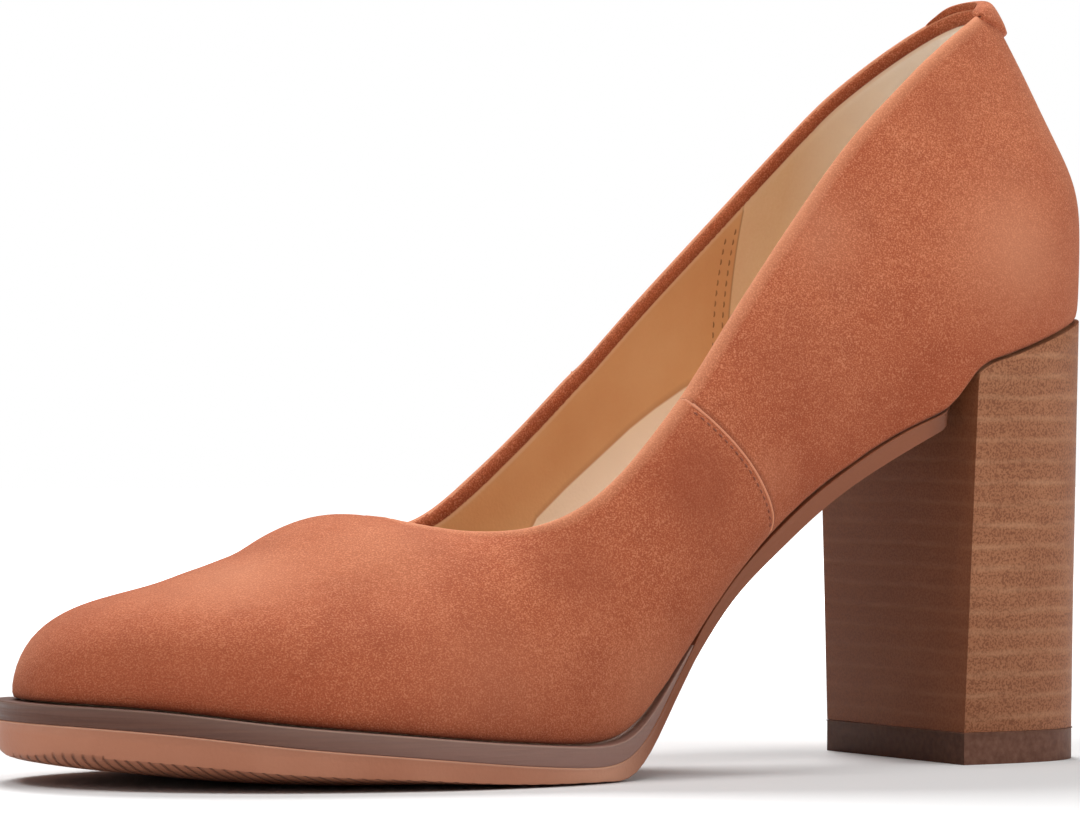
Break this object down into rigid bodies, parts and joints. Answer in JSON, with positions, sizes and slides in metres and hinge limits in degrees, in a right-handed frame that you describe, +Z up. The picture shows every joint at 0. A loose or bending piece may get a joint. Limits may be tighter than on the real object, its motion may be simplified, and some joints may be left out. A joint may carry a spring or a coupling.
{
  "type": "block heel pump",
  "caption": "Closed-toe slip-on pump for the left foot: hollow soft upper with an open collar, leaf over the back seam, welted platform sole and a high stacked block heel.",
  "frame": {"origin": "on the floor under the middle of the shoe's bounding box", "axes": "+X from the heel towards the toe, +Y towards the wearer's left, the outer side of this left shoe, +Z up"},
  "size_m": [0.2272, 0.0806, 0.1507],
  "materials": {
    "upper": "tan suede, matt nap",
    "back_tab": "tan suede, matt nap",
    "insole": "smooth natural leather sock, low sheen",
    "midsole": "dark brown edge dye, satin",
    "outsole": "gum rubber, satin, ribbed underneath",
    "heel": "stacked brown layers, satin",
    "heel_tip": "dark brown rubber, matt"
  },
  "bodies": {
    "root": {"upper": "upper", "back_tab": "back_tab", "insole": "insole", "midsole": "midsole", "outsole": "outsole", "heel": "heel", "heel_tip": "heel_tip"}
  },
  "joints": []
}
